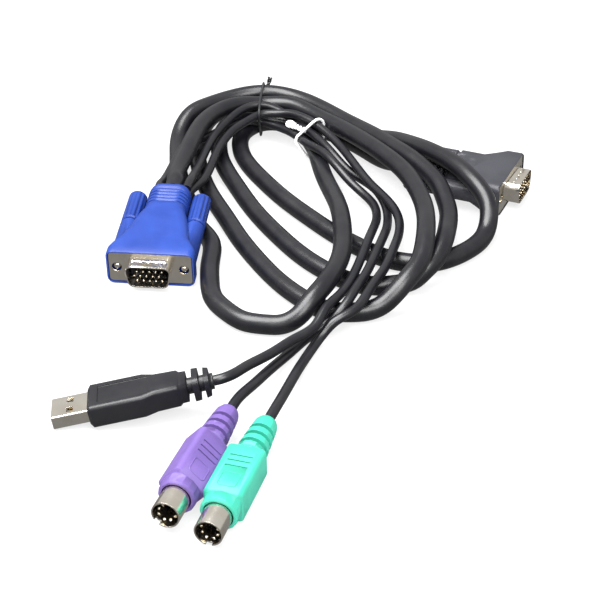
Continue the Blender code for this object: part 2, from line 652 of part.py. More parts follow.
# Leads: hand-chosen points of the route, in millimetres on the table, smoothed by a spline
def smooth_route(points, per_span=14):
    """A natural cubic spline through the points, by chord length."""
    points = np.array(points, float)
    spans = np.linalg.norm(np.diff(points, axis=0), axis=1)
    count = len(points)
    system = np.eye(count)
    target = np.zeros((count, 3))
    for i in range(1, count - 1):
        system[i, i - 1:i + 2] = spans[i - 1], 2.0 * (spans[i - 1] + spans[i]), spans[i]
        target[i] = 6.0 * ((points[i + 1] - points[i]) / spans[i] - (points[i] - points[i - 1]) / spans[i - 1])
    bend = np.linalg.solve(system, target)
    curve = []
    for i, span in enumerate(spans):
        for step in range(per_span):
            far = step / per_span
            near = 1.0 - far
            sag = ((near ** 3 - near) * bend[i] + (far ** 3 - far) * bend[i + 1]) * span ** 2 / 6.0
            curve.append(near * points[i] + far * points[i + 1] + sag)
    curve.append(points[-1])
    return np.array(curve)


def spread_points(curve, diameter):
    """Fewer points where the route runs straight, more where it bends."""
    kept = [0]
    length = 0.0
    turn = 0.0
    for i in range(1, len(curve) - 1):
        before = curve[i] - curve[i - 1]
        after = curve[i + 1] - curve[i]
        length += np.linalg.norm(before)
        cosine = before @ after / (np.linalg.norm(before) * np.linalg.norm(after))
        turn += math.acos(min(1.0, cosine))
        if length * turn / 8.0 > LEAD_CHORD_ERROR or length > 3.0 * diameter:
            kept.append(i)
            length = 0.0
            turn = 0.0
    kept.append(len(curve) - 1)
    return curve[kept]


def route_curve(points, diameter):
    """The smooth route in metres, kept above the table."""
    curve = smooth_route(np.array(points) * 0.001)
    curve[:, 2] = np.maximum(curve[:, 2], diameter / 2.0)
    return curve


def lead(name, points, diameter):
    """A round lead along its route, never lower than the table."""
    curve = spread_points(route_curve(points, diameter), diameter)
    data = bpy.data.curves.new(name, "CURVE")
    data.dimensions = "3D"
    data.bevel_depth = diameter / 2.0
    data.bevel_resolution = 2
    data.use_fill_caps = True
    spline = data.splines.new("POLY")
    spline.points.add(len(curve) - 1)
    for point, position in zip(spline.points, curve):
        point.co = (*position, 1.0)
    thing = bpy.data.objects.new(name, data)
    PARTS.objects.link(thing)
    thing.parent = LAYOUT
    finish(thing, "black")


MAIN_ROUTE = [
    (-49.5, 58.1, 14.5), (-49.2, 61, 14.8), (-48.8, 64.6, 15.3), (-49, 68.5, 15), (-46.5, 89, 15),
    (-42, 113, 16), (-35.5, 129.5, 15.5), (-25.5, 139.5, 14.5), (-16, 143, 13), (-5.5, 142, 13.5),
    (5, 133.5, 13), (15.5, 120, 13.5), (25.5, 103.5, 15), (34, 86.5, 16.5), (41.5, 69.5, 17),
    (45, 56, 17), (47, 42, 17), (47, 27, 17), (45.5, 13, 16.5), (42.5, 1.5, 14), (38.5, -5, 12),
    (34.5, -9, 9), (29, -12, 5), (22.5, -14, 3.6), (16, -14.5, 3.6), (9.5, -13, 3.6),
    (3, -7.5, 3.6), (-5.5, 3.5, 3.6), (-15, 21, 3.6), (-23, 39.5, 3.6), (-29.5, 58, 3.6),
    (-36.5, 78, 3.6), (-41, 97, 3.6), (-43.5, 116.5, 3.6), (-42.5, 136, 3.6), (-38, 151.5, 3.8),
    (-28.5, 161, 4.6), (-17, 163.5, 5.2), (-5, 161.5, 4.8), (6.5, 155, 3.8), (20.5, 141, 3.6),
    (30.5, 127.5, 5), (39.5, 113, 10.5), (46.5, 101, 14), (52, 90.5, 16.5), (57, 82.5, 17.5),
    (62.5, 73, 18), (67, 64, 17), (70.5, 57.5, 15), (72.5, 53, 12.5), (73, 49, 9.5), (71.5, 43, 5),
    (67, 35, 3.6), (59, 26.5, 3.6), (50, 21.5, 3.6), (41, 21, 3.6), (33, 24, 3.6), (23, 32.5, 3.6),
    (14, 42.5, 3.6), (4, 56.5, 3.6), (-6, 72, 3.6), (-15, 89, 3.6), (-22.5, 106.5, 3.6),
    (-25.5, 122, 3.8), (-24, 132.5, 4.6), (-19.5, 138, 5.4), (-13.5, 140.5, 5.7), (-7, 139.5, 5.5),
    (-0.5, 134, 5.3), (3.5, 125, 5.35), (6.5, 113, 5.25), (9, 93, 6), (13, 68.5, 8),
    (15.5, 45.5, 11.5), (16, 26.5, 12), (15, 12, 12), (12, -0.5, 12), (8, -11, 12), (3.5, -18, 10),
    (-0, -21.5, 7), (-6, -23, 4), (-13, -22.5, 3.6), (-19.5, -20.5, 3.6), (-25, -15, 3.6),
    (-31, -5, 3.6), (-33, 7, 3.6), (-33.5, 21.5, 3.6), (-34, 37, 3.6), (-40, 50.5, 3.6),
    (-43.5, 64, 3.6), (-46.5, 78.5, 3.6), (-50, 96.5, 3.6), (-51.5, 114.5, 3.6), (-51.5, 127.5, 6),
    (-47, 137.5, 11), (-40, 144.5, 12), (-28.5, 152.5, 12.4), (-16.5, 155.5, 13), (-5, 153.5, 12.4),
    (7, 144, 12), (19.5, 128, 12), (31, 110.5, 13.5), (39, 95.5, 15), (45.5, 84, 15.5),
    (50.5, 74.5, 15), (54, 65.5, 14.5), (56, 56.5, 13), (57, 46, 11.5), (55.5, 33, 11.5),
    (53, 21, 11.5), (49.5, 13.5, 9), (46, 10, 7), (41, 7, 4), (35, 5, 3.6), (28, 4, 3.6),
    (20.5, 6, 3.6), (12, 12.5, 3.6), (2, 24.5, 3.6), (-8, 41.5, 3.6), (-18, 62.5, 3.6),
    (-26.5, 86, 3.6), (-32.5, 106, 3.6), (-34.5, 124, 3.6), (-32, 140.5, 3.8), (-25.5, 150, 4.7),
    (-17, 153, 5.2), (-6, 149, 4.7), (8, 138.5, 3.8), (21, 126, 3.6), (30.5, 113, 3.6),
    (37.5, 102, 5.5), (42.6, 96.3, 7.6), (46.9, 94.4, 7.6), (49.6, 93.2, 7.6),
]
USB_ROUTE = [
    (-55.2, 58.8, 12.9), (-55.1, 60.5, 13.1), (-55.2, 63.8, 13.3), (-54.5, 73.5, 11),
    (-52, 87, 10.5), (-50, 99, 10.5), (-47, 108.5, 10.5), (-42, 114, 10), (-37, 119, 10),
    (-31.5, 126, 10), (-23.5, 132, 10), (-17, 134, 9), (-11, 131, 8.5), (-3.5, 122, 9.4),
    (3, 110, 10.2), (10, 97.5, 11.7), (15.5, 87.5, 10), (20.5, 80.5, 7), (25.5, 74, 5),
    (29, 66.5, 4.5), (30, 57, 5), (28.5, 42, 8), (25, 24, 10.5), (21.5, 9.5, 10), (18, -2.5, 9.5),
    (13.5, -14, 10), (8.5, -23.5, 10), (5, -31, 8), (-1.5, -38, 7.5), (-10, -50, 9), (-18, -61, 11),
    (-24.3, -70, 12.8), (-26.3, -70.8, 12.6), (-27.7, -70.9, 12.3),
]
KEYBOARD_ROUTE = [
    (-44.1, 57.4, 15.8), (-43.9, 59.1, 16), (-43.3, 62.3, 16.2), (-42, 73, 14.5), (-40, 92.5, 11.5),
    (-36.5, 109.5, 12.5), (-29, 126.5, 14.5), (-22.5, 134.5, 15.5), (-16, 137, 15.5),
    (-11, 137, 14), (-6.5, 135, 12), (1, 124.5, 11.2), (7.5, 112.5, 11.4), (13.5, 101.5, 9.7),
    (20, 92, 6.5), (27, 83, 5.5), (31.5, 73.5, 5.5), (34, 63.5, 4.5), (34, 50.5, 5),
    (31.5, 31, 9.5), (27.5, 15, 10), (23.5, 1, 10), (19, -12, 10.5), (14.5, -20, 8), (7.5, -24, 3),
    (3, -28, 1.75), (-3, -38.5, 2.5), (-9.5, -51, 4), (-16, -66.5, 7), (-21.2, -78.7, 8.4),
    (-21.9, -80.9, 8.3), (-22.3, -82, 8.2),
]
MOUSE_ROUTE = [
    (-44.5, 58, 11.1), (-44.3, 59.6, 11.3), (-43.6, 62.8, 11.4), (-39, 76, 10), (-35, 95.5, 11),
    (-32.5, 107, 11.5), (-28.5, 117, 12.5), (-21.5, 127.5, 13), (-15, 132.5, 13.5),
    (-11.5, 132.5, 13.5), (-5, 130.5, 14.5), (0.5, 126, 15.1), (8, 117.5, 14.4), (15, 106.5, 12.6),
    (21.5, 91, 11), (28.5, 74.5, 9), (35.5, 59, 8.5), (38, 48.5, 8), (37.5, 35, 8.5),
    (34.5, 19, 10.5), (31, 6.5, 10), (26.5, -5, 10), (23, -14.5, 10), (18, -23, 9),
    (12.5, -26.5, 7.5), (8, -29.5, 4), (3, -38.5, 1.75), (-1.5, -54.5, 4), (-6, -72.5, 6.5),
    (-9.1, -85.2, 8.6), (-9.7, -87.1, 8.5), (-10, -88.2, 8.4),
]


# Ties: a band drawn tight round the leads that cross its plane, and its twisted ends
def crossings(middle, normal, reach):
    """The (x, z, radius) of each lead within reach of the tie, in the tie's own frame."""
    across = Vector((normal.y, -normal.x, 0.0))
    found = []
    for points, diameter in LEADS.values():
        curve = route_curve(points, diameter)
        for start, end in zip(curve, curve[1:]):
            before = Vector(start) - middle
            after = Vector(end) - middle
            if before.dot(normal) * after.dot(normal) > 0.0:
                continue
            share = before.dot(normal) / (before - after).dot(normal)
            point = before.lerp(after, share)
            if Vector((point.x, point.y, 0.0)).length > reach:
                continue
            slant = (after - before).normalized().angle(normal)
            slant = min(slant, math.pi - slant)
            radius = diameter / 2.0 / math.cos(slant) + TIE_WIDTH * 0.85 * math.tan(slant)
            found.append((point.dot(across), middle.z + point.z, radius))
    return found


def hugging_outline(circles, offset, steps=18):
    """The tight outline round circles (x, z, radius), each grown by offset."""
    cloud = sorted(
        (x + (radius + offset) * math.cos(2.0 * math.pi * step / steps),
         z + (radius + offset) * math.sin(2.0 * math.pi * step / steps))
        for x, z, radius in circles for step in range(steps))
    chains = []
    for ordered in (cloud, cloud[::-1]):
        chain = []
        for point in ordered:
            while len(chain) > 1 and turns_right(chain[-2], chain[-1], point):
                chain.pop()
            chain.append(point)
        chains.extend(chain[:-1])
    return chains


def turns_right(first, second, third):
    return ((second[0] - first[0]) * (third[1] - first[1])
            - (second[1] - first[1]) * (third[0] - first[0])) <= 1e-12


def twisted_ends(start, direction, length, turns, steps):
    """Two wires twisted round each other, as one rod with two lobes."""
    rings = []
    for step in range(steps + 1):
        twist = 2.0 * math.pi * turns * step / steps
        outline = []
        for index in range(12):
            angle = 2.0 * math.pi * index / 12
            radius = TIE_THICKNESS * (0.78 + 0.22 * math.cos(2.0 * (angle - twist)))
            outline.append((radius * math.cos(angle), radius * math.sin(angle)))
        rings.append((length * step / steps, outline))
    body = loft(rings)
    turn = Vector((0.0, 1.0, 0.0)).rotation_difference(Vector(direction))
    bmesh.ops.transform(body, matrix=Matrix.Translation(start) @ turn.to_matrix().to_4x4(), verts=body.verts)
    return body


def wire_eye(centre, direction, radius, wire, segments=16, sides=6):
    """A round eye of wire lying flat, its far side towards direction."""
    body = bmesh.new()
    forward = Vector(direction).normalized()
    sideways = forward.cross(Vector((0.0, 0.0, 1.0))).normalized()
    upward = sideways.cross(forward)
    rings = []
    for segment in range(segments):
        around = 2.0 * math.pi * segment / segments
        outward = forward * math.cos(around) + sideways * math.sin(around)
        ring = []
        for side in range(sides):
            angle = 2.0 * math.pi * side / sides
            arm = outward * (radius + wire * math.cos(angle)) + upward * wire * math.sin(angle)
            ring.append(body.verts.new(Vector(centre) + arm))
        rings.append(ring)
    for segment in range(segments):
        here = rings[segment]
        there = rings[(segment + 1) % segments]
        for side in range(sides):
            after = (side + 1) % sides
            body.faces.new((here[side], here[after], there[after], there[side]))
    bmesh.ops.recalc_face_normals(body, faces=body.faces)
    return body


def tie(name, middle, heading, reach, colour):
    """The band; heading is the way the leads run through it, in degrees from +Y."""
    frame = new_frame(name + "_frame", (middle[0], middle[1], 0.0), (heading, 0.0, 0.0), LAYOUT)
    turn = math.radians(heading)
    normal = Vector((-math.sin(turn), math.cos(turn), 0.0))
    circles = crossings(Vector((*middle, 0.0)), normal, reach)
    half = TIE_WIDTH / 2.0
    band = place(name, prism(hugging_outline(circles, TOUCH_GAP + TIE_THICKNESS), -half, half), frame)
    shape(band, "DIFFERENCE", prism(hugging_outline(circles, TOUCH_GAP), -2.0 * half, 2.0 * half))
    finish(band, colour)
    return band, circles


def ties():
    band, circles = tie("black_tie", BLACK_TIE_MIDDLE, BLACK_TIE_HEADING, BLACK_TIE_REACH, "black")
    back = min(x - radius for x, z, radius in circles) - TOUCH_GAP - TIE_THICKNESS / 2.0
    shape(band, "UNION", twisted_ends((back, 0.0, BLACK_TIE_KNOT_HEIGHT), (-0.35, 0.25, 0.9), 0.0085, 1.5, 14))
    band, circles = tie("white_tie", WHITE_TIE_MIDDLE, WHITE_TIE_HEADING, WHITE_TIE_REACH, "white")
    start = Vector(WHITE_TIE_KNOT)
    along = Vector(WHITE_TIE_TAIL).normalized()
    shape(band, "UNION", twisted_ends(start, along, WHITE_TIE_TAIL_LENGTH, 1.5, 14))
    eye = start + along * (WHITE_TIE_TAIL_LENGTH + WHITE_TIE_EYE_RADIUS - TIE_THICKNESS / 4.0)
    shape(band, "UNION", wire_eye(eye, along, WHITE_TIE_EYE_RADIUS, TIE_THICKNESS / 2.0))


LEADS = {
    "main_cable": (MAIN_ROUTE, MAIN_LEAD_DIAMETER),
    "usb_cable": (USB_ROUTE, THIN_LEAD_DIAMETER),
    "keyboard_cable": (KEYBOARD_ROUTE, THIN_LEAD_DIAMETER),
    "mouse_cable": (MOUSE_ROUTE, THIN_LEAD_DIAMETER),
}

vga_plug()
console_plug()
usb_plug()
din_plug("keyboard", KEYBOARD_POSE, "purple")
din_plug("mouse", MOUSE_POSE, "green")
for lead_name, (lead_route, lead_diameter) in LEADS.items():
    lead(lead_name, lead_route, lead_diameter)
ties()
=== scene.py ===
# %% [markdown]
# # A KVM cable, tied up for storage
# The object is one thick lead with a 15-pin D plug on each end, and three thin leads that
# leave the blue plug and end in a USB plug, a purple keyboard plug and a green mouse plug.
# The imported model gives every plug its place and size. This file gives the surfaces their
# looks: smooth leads, moulded plastic with its fine grain, plated metal, and bright pins.

import json
import math

import bpy
import numpy as np
from mathutils import Euler, Matrix, Vector, geometry

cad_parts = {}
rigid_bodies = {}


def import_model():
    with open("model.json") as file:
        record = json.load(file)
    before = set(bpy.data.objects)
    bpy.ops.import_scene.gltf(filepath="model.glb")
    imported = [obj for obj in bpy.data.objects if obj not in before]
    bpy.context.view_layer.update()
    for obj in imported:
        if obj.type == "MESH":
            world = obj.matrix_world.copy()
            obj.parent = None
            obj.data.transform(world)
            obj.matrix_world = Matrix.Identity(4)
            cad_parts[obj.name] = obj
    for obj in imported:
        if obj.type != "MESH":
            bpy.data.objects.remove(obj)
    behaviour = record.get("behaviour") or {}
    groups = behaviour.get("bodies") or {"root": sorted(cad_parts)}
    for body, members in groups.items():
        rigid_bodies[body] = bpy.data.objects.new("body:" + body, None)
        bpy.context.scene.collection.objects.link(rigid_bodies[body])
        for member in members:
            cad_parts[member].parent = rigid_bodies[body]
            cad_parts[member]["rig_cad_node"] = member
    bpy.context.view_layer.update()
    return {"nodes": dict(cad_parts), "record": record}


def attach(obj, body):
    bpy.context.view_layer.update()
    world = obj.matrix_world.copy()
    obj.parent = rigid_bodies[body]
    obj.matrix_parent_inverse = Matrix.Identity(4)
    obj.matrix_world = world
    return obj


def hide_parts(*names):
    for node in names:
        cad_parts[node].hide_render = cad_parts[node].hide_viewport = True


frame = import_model()
BODY_OF = {
    node: body
    for body, nodes in frame["record"]["behaviour"]["bodies"].items()
    for node in nodes
}
MM = 0.001

# %% [markdown]
# ## The camera and the plain studio
# The photograph looks 31 degrees down from 0.6 m away, with a long lens that keeps the
# plugs at both ends nearly the same size. The floor is white to the camera, and keeps a
# faint shadow under each strand, because only part of its colour comes from the lamps.
# Reflections see a darker floor, and a world brighter than the light it gives. That is
# where the plating and the sheaths get their contrast.

# %% Camera
CAMERA_DOWN = 31.0
CAMERA_DISTANCE = 0.600
CAMERA_LENS = 99.0
SENSOR_WIDTH = 36.0
LAYOUT_CENTRE = Vector((0.006293, 0.0149425, 0.0))

down = math.radians(CAMERA_DOWN)
camera_data = bpy.data.cameras.new("camera")
camera_data.lens = CAMERA_LENS
camera_data.sensor_width = SENSOR_WIDTH
camera = bpy.data.objects.new("camera", camera_data)
camera.location = Vector((0.0, -math.cos(down), math.sin(down))) * CAMERA_DISTANCE - LAYOUT_CENTRE
camera.rotation_euler = (math.pi / 2.0 - down, 0.0, 0.0)
bpy.context.scene.collection.objects.link(camera)
bpy.context.scene.camera = camera
bpy.context.scene.view_settings.view_transform = "Standard"
print("camera at", [round(v, 3) for v in camera.location])

# %% Selection and node helpers
def deselect():
    bpy.ops.object.select_all(action="DESELECT")


def choose(active, *others):
    """Select only these objects, the first one active."""
    deselect()
    for thing in (active, *others):
        thing.select_set(True)
    bpy.context.view_layer.objects.active = active


def add_node(material, kind, **settings):
    """A shader node with its settings and its plain input values."""
    made = material.node_tree.nodes.new(kind)
    for name, value in settings.items():
        if name in made.inputs:
            made.inputs[name].default_value = value
        else:
            setattr(made, name, value)
    return made


def join(material, output, target):
    material.node_tree.links.new(output, target)


def shader_of(material):
    return material.node_tree.nodes["Principled BSDF"]


# %% Floor
FLOOR_SIZE = 4.0
FLOOR_DROP = 0.00005
FLOOR_COLOUR = (0.86, 0.86, 0.86, 1.0)
FLOOR_ROUGHNESS = 0.9
FLOOR_WHITE_TO_CAMERA = 0.76
FLOOR_IN_REFLECTIONS = 0.26

deselect()
bpy.ops.mesh.primitive_plane_add(size=FLOOR_SIZE, location=(0.0, 0.0, -FLOOR_DROP))
floor = bpy.context.object
floor.name = "floor"
paper = bpy.data.materials.new("white_paper")
paper.use_nodes = True
paper_shader = shader_of(paper)
paper_shader.inputs["Base Color"].default_value = FLOOR_COLOUR
paper_shader.inputs["Roughness"].default_value = FLOOR_ROUGHNESS
rays = add_node(paper, "ShaderNodeLightPath")
white_share = add_node(paper, "ShaderNodeMath", operation="MULTIPLY_ADD")
white_share.inputs[1].default_value = FLOOR_WHITE_TO_CAMERA
join(paper, rays.outputs["Is Camera Ray"], white_share.inputs[0])
join(paper, rays.outputs["Is Glossy Ray"], white_share.inputs[2])
white_level = add_node(paper, "ShaderNodeMapRange")
white_level.inputs["To Min"].default_value = 1.0
white_level.inputs["To Max"].default_value = FLOOR_IN_REFLECTIONS
join(paper, rays.outputs["Is Glossy Ray"], white_level.inputs["Value"])
white = add_node(paper, "ShaderNodeEmission")
join(paper, white_level.outputs["Result"], white.inputs["Strength"])
blend_white = add_node(paper, "ShaderNodeMixShader")
join(paper, white_share.outputs[0], blend_white.inputs[0])
join(paper, paper_shader.outputs[0], blend_white.inputs[1])
join(paper, white.outputs[0], blend_white.inputs[2])
join(paper, blend_white.outputs[0], paper.node_tree.nodes["Material Output"].inputs["Surface"])
floor.data.materials.append(paper)
print("floor:", FLOOR_SIZE, "m square")

# %% World and lamps
WORLD_LIGHT = 0.16
WORLD_TO_CAMERA = 1.0
WORLD_IN_REFLECTIONS = 0.62

world = bpy.data.worlds.new("studio")
world.use_nodes = True
bpy.context.scene.world = world
backdrop = world.node_tree.nodes["Background"]
backdrop.inputs["Color"].default_value = (1.0, 1.0, 1.0, 1.0)
world_rays = add_node(world, "ShaderNodeLightPath")
mirrored = add_node(world, "ShaderNodeMath", operation="MULTIPLY_ADD")
mirrored.inputs[1].default_value = WORLD_IN_REFLECTIONS - WORLD_LIGHT
mirrored.inputs[2].default_value = WORLD_LIGHT
join(world, world_rays.outputs["Is Glossy Ray"], mirrored.inputs[0])
world_level = add_node(world, "ShaderNodeMath", operation="MULTIPLY_ADD")
world_level.inputs[1].default_value = WORLD_TO_CAMERA - WORLD_LIGHT
join(world, world_rays.outputs["Is Camera Ray"], world_level.inputs[0])
join(world, mirrored.outputs[0], world_level.inputs[2])
join(world, world_level.outputs[0], backdrop.inputs["Strength"])


def add_lamp(name, place, aim, size, watts):
    """A square soft lamp that looks at a point."""
    data = bpy.data.lights.new(name, "AREA")
    data.shape = "SQUARE"
    data.size = size
    data.energy = watts
    lamp = bpy.data.objects.new(name, data)
    lamp.location = place
    lamp.rotation_euler = (Vector(aim) - Vector(place)).to_track_quat("-Z", "Y").to_euler()
    bpy.context.scene.collection.objects.link(lamp)


add_lamp("key_lamp", place=(-0.25, -0.05, 0.75), aim=(0.0, 0.0, 0.0), size=0.70, watts=22.0)
add_lamp("front_lamp", place=(0.20, -0.55, 0.62), aim=(0.0, -0.02, 0.0), size=0.50, watts=8.5)
print("lamps: 2, world light", WORLD_LIGHT)

# %% [markdown]
# ## Surface helpers
# Moulded plastic is never one flat colour. It has a fine grain from the mould, slow
# changes of shade, and edges a tenth of a millimetre round. Each of these is a few nodes:
# noise for the grain and the shade, and the Bevel node for the edges, which rounds only
# the light and not the shape. All patterns read Object coordinates, in metres.

# %% Surface helpers
SHADE_BAND = (0.35, 0.65)
GLOSS_BAND = (0.3, 0.7)
GRAIN_DETAIL = 2.0
BEVEL_SAMPLES = 4


def plain_material(name, colour, roughness, metallic=0.0):
    """A Principled material with constant values on its own sockets."""
    material = bpy.data.materials.new(name)
    material.use_nodes = True
    shader = shader_of(material)
    shader.inputs["Base Color"].default_value = (*colour, 1.0)
    shader.inputs["Roughness"].default_value = roughness
    shader.inputs["Metallic"].default_value = metallic
    return material


def noise_on(material, size, stretch=(1.0, 1.0, 1.0), detail=3.0):
    """Noise whose features are about size metres across, and longer where stretch is small."""
    coords = add_node(material, "ShaderNodeTexCoord")
    mapping = add_node(material, "ShaderNodeMapping")
    mapping.inputs["Scale"].default_value = stretch
    noise = add_node(material, "ShaderNodeTexNoise", Scale=1.0 / size, Detail=detail)
    join(material, coords.outputs["Object"], mapping.inputs["Vector"])
    join(material, mapping.outputs["Vector"], noise.inputs["Vector"])
    return noise.outputs["Fac"]


def add_shades(material, light, dark, size, stretch=(1.0, 1.0, 1.0)):
    """Base colour that drifts between two shades."""
    mix = add_node(material, "ShaderNodeMix", data_type="RGBA")
    ramp = add_node(material, "ShaderNodeMapRange", interpolation_type="SMOOTHSTEP")
    ramp.inputs["From Min"].default_value = SHADE_BAND[0]
    ramp.inputs["From Max"].default_value = SHADE_BAND[1]
    join(material, noise_on(material, size, stretch), ramp.inputs["Value"])
    join(material, ramp.outputs["Result"], mix.inputs["Factor"])
    mix.inputs["A"].default_value = (*light, 1.0)
    mix.inputs["B"].default_value = (*dark, 1.0)
    join(material, mix.outputs["Result"], shader_of(material).inputs["Base Color"])


def add_gloss_change(material, low, high, size, stretch=(1.0, 1.0, 1.0)):
    """Roughness that drifts between two values, as handling leaves it."""
    ramp = add_node(material, "ShaderNodeMapRange")
    ramp.inputs["From Min"].default_value = GLOSS_BAND[0]
    ramp.inputs["From Max"].default_value = GLOSS_BAND[1]
    ramp.inputs["To Min"].default_value = low
    ramp.inputs["To Max"].default_value = high
    join(material, noise_on(material, size, stretch), ramp.inputs["Value"])
    join(material, ramp.outputs["Result"], shader_of(material).inputs["Roughness"])


def add_grain(material, size, depth, edge=0.0, stretch=(1.0, 1.0, 1.0)):
    """Fine bumps of a real size and depth, over edges rounded by edge metres."""
    bump = add_node(material, "ShaderNodeBump", Strength=1.0, Distance=depth)
    join(material, noise_on(material, size, stretch, GRAIN_DETAIL), bump.inputs["Height"])
    if edge > 0.0:
        rounding = add_node(material, "ShaderNodeBevel", samples=BEVEL_SAMPLES, Radius=edge)
        join(material, rounding.outputs["Normal"], bump.inputs["Normal"])
    join(material, bump.outputs["Normal"], shader_of(material).inputs["Normal"])


MOULDED_SHEEN = 0.36
MOULDED_EDGE = 0.00018
MOULDED_SHADE_SIZE = 0.012
MOULDED_GLOSS_SIZE = 0.005
MOULDED_GRAIN_SIZE = 0.00035
MOULDED_GRAIN_DEPTH = 0.000012
SMOOTHER_BY = 0.05
ROUGHER_BY = 0.07


def moulded(name, light, dark, roughness, edge=MOULDED_EDGE):
    """Satin moulded PVC in two close shades of one colour."""
    material = plain_material(name, light, roughness)
    add_shades(material, light, dark, MOULDED_SHADE_SIZE)
    add_gloss_change(material, roughness - SMOOTHER_BY, roughness + ROUGHER_BY, MOULDED_GLOSS_SIZE)
    add_grain(material, MOULDED_GRAIN_SIZE, MOULDED_GRAIN_DEPTH, edge)
    shader_of(material).inputs["Specular IOR Level"].default_value = MOULDED_SHEEN
    return material


print("helpers ready")

# %% [markdown]
# ## The finishes
# The blue is strong and slightly violet, the purple and the green are pale and chalky, and
# the charcoal has a violet cast. The plating on the shells is a warm nickel. The sheath of
# the leads is black PVC, which shows long soft highlights along each strand.

# %% Finishes
WIRE_EDGE = 0.0001
SHEATH_SHEEN = 0.48

blue_plastic = moulded(
    "blue_plastic", light=(0.0105, 0.038, 0.225), dark=(0.0080, 0.030, 0.190), roughness=0.44)
charcoal_plastic = moulded(
    "charcoal_plastic", light=(0.032, 0.032, 0.039), dark=(0.025, 0.025, 0.031), roughness=0.46)
black_plastic = moulded(
    "black_plastic", light=(0.009, 0.009, 0.011), dark=(0.006, 0.006, 0.008), roughness=0.34)
purple_plastic = moulded(
    "purple_plastic", light=(0.128, 0.080, 0.265), dark=(0.112, 0.070, 0.237), roughness=0.46)
green_plastic = moulded(
    "green_plastic", light=(0.034, 0.355, 0.25), dark=(0.028, 0.315, 0.22), roughness=0.46)
insulator_plastic = moulded(
    "insulator_plastic", light=(0.012, 0.013, 0.020), dark=(0.008, 0.009, 0.014), roughness=0.30)
carrier_plastic = moulded(
    "carrier_plastic", light=(0.80, 0.80, 0.76), dark=(0.74, 0.74, 0.70), roughness=0.40)
white_wire = moulded(
    "white_wire", light=(0.84, 0.84, 0.84), dark=(0.78, 0.78, 0.80), roughness=0.38, edge=WIRE_EDGE)
black_wire = moulded(
    "black_wire", light=(0.018, 0.018, 0.020), dark=(0.012, 0.012, 0.013), roughness=0.34, edge=WIRE_EDGE)

nickel = plain_material("nickel_plate", colour=(0.80, 0.75, 0.64), roughness=0.2, metallic=1.0)
add_shades(nickel, light=(0.84, 0.79, 0.70), dark=(0.78, 0.72, 0.62), size=0.006)
add_gloss_change(nickel, low=0.15, high=0.23, size=0.003)
add_grain(nickel, size=0.0006, depth=0.000004, edge=0.00012)

pin_metal = plain_material("pin_metal", colour=(0.86, 0.80, 0.66), roughness=0.18, metallic=1.0)
add_shades(pin_metal, light=(0.90, 0.84, 0.72), dark=(0.80, 0.70, 0.50), size=0.001)
contact_gold = plain_material("contact_gold", colour=(0.88, 0.64, 0.28), roughness=0.24, metallic=1.0)
add_shades(contact_gold, light=(0.90, 0.67, 0.32), dark=(0.80, 0.55, 0.22), size=0.002)

sheath = plain_material("lead_sheath", colour=(0.010, 0.010, 0.012), roughness=0.40)
add_shades(sheath, light=(0.007, 0.007, 0.009), dark=(0.004, 0.004, 0.006), size=0.010)
add_gloss_change(sheath, low=0.30, high=0.38, size=0.006)
add_grain(sheath, size=0.0016, depth=0.00002)
shader_of(sheath).inputs["Specular IOR Level"].default_value = SHEATH_SHEEN
print("finishes:", len(bpy.data.materials))

# %% [markdown]
# ## The leads
# A lead is a curve with a round section. Its route is the one that the frame was built on:
# points in millimetres, joined by a natural cubic spline, which bends the way a springy
# cable does. The points were placed by eye along each strand of the photograph. Another
# script then moved them by some millimetres, to ease the strands apart, and rounded them.
# Each lead starts in the blue plug's tail.

